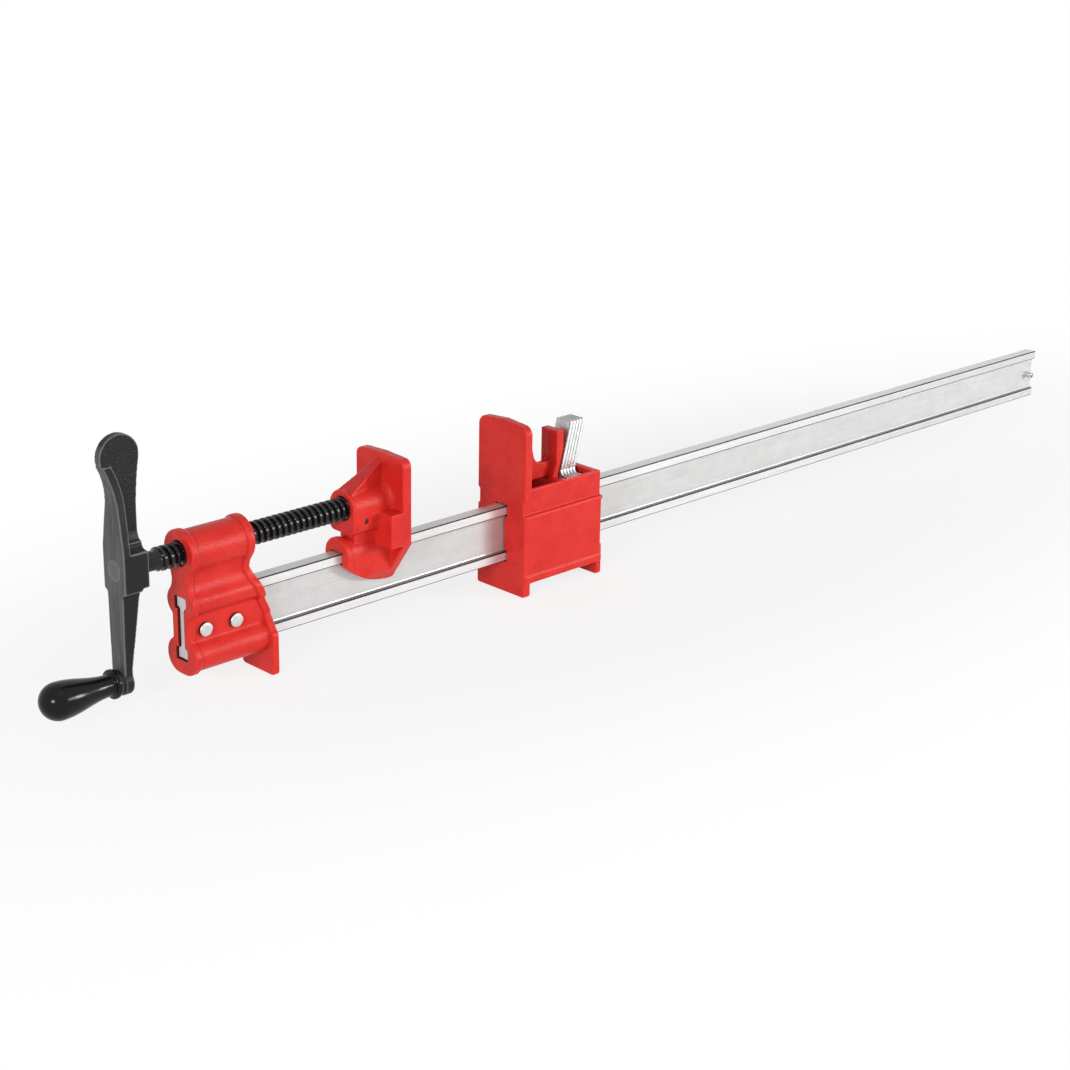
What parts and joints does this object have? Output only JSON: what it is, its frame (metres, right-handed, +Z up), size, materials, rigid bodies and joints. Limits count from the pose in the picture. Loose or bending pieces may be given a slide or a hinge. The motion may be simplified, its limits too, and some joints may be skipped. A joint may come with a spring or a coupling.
{
  "type": "door clamp",
  "caption": "Steel rail clamp for doors and frames: a crank screw drives a pressure plate, and a sliding jaw grips the rail with leaning clutch plates.",
  "frame": {"origin": "middle of the sole of the fixed head's foot, on the surface that the clamp stands on", "axes": "+X along the rail from the crank towards the free end, +Y across the rail, +Z up, away from the surface"},
  "size_m": [1.0793, 0.0516, 0.1855],
  "materials": {
    "rail_steel": "satin",
    "bright_steel": "satin",
    "plate_steel": "satin",
    "dark_steel": "satin",
    "black_steel": "satin",
    "red_casting": "gloss",
    "black_plastic": "gloss"
  },
  "bodies": {
    "rail_and_head": {"rail": "rail_steel", "fixed_head": "red_casting", "head_rivets": "bright_steel", "end_stop_pin": "bright_steel"},
    "pad": {"pressure_plate": "red_casting", "screw_retaining_pin": "dark_steel"},
    "spindle": {"screw_spindle": "black_steel", "crank_arm": "black_steel", "grip_axle": "bright_steel"},
    "handle": {"grip": "black_plastic", "grip_snap_ring": "dark_steel"},
    "jaw": {"sliding_jaw": "red_casting", "clutch_spring": "dark_steel"},
    "clutch": {"clutch_plate_1": "plate_steel", "clutch_plate_2": "plate_steel", "clutch_plate_3": "plate_steel", "clutch_plate_4": "plate_steel", "clutch_plate_5": "plate_steel"}
  },
  "joints": [
    {"name": "pad_slide", "type": "slide", "parent": "rail_and_head", "child": "pad", "axis": [1, 0, 0], "range_m": [-0.0575, 0.0175]},
    {"name": "spindle_turn", "type": "hinge", "parent": "pad", "child": "spindle", "pos_m": [0, 0, 0.0971], "axis": [1, 0, 0], "range_deg": [-4140, 1260]},
    {"name": "grip_spin", "type": "hinge", "parent": "spindle", "child": "handle", "pos_m": [-0.14, 0, 0.0221], "axis": [1, 0, 0], "continuous": true},
    {"name": "jaw_slide", "type": "slide", "parent": "rail_and_head", "child": "jaw", "axis": [1, 0, 0], "range_m": [-0.09, 0.594]},
    {"name": "plate_tilt", "type": "hinge", "parent": "jaw", "child": "clutch", "pos_m": [0.2762, 0, 0.0992], "axis": [0, 1, 0], "range_deg": [-3.5, 0], "stiffness_Nm_per_rad": 2, "springref_deg": 5.73, "deforming": ["clutch_spring"]}
  ],
  "couplings": [
    {"joint": "pad_slide", "follows": "spindle_turn", "m_per_rad": 0.00079577}
  ]
}
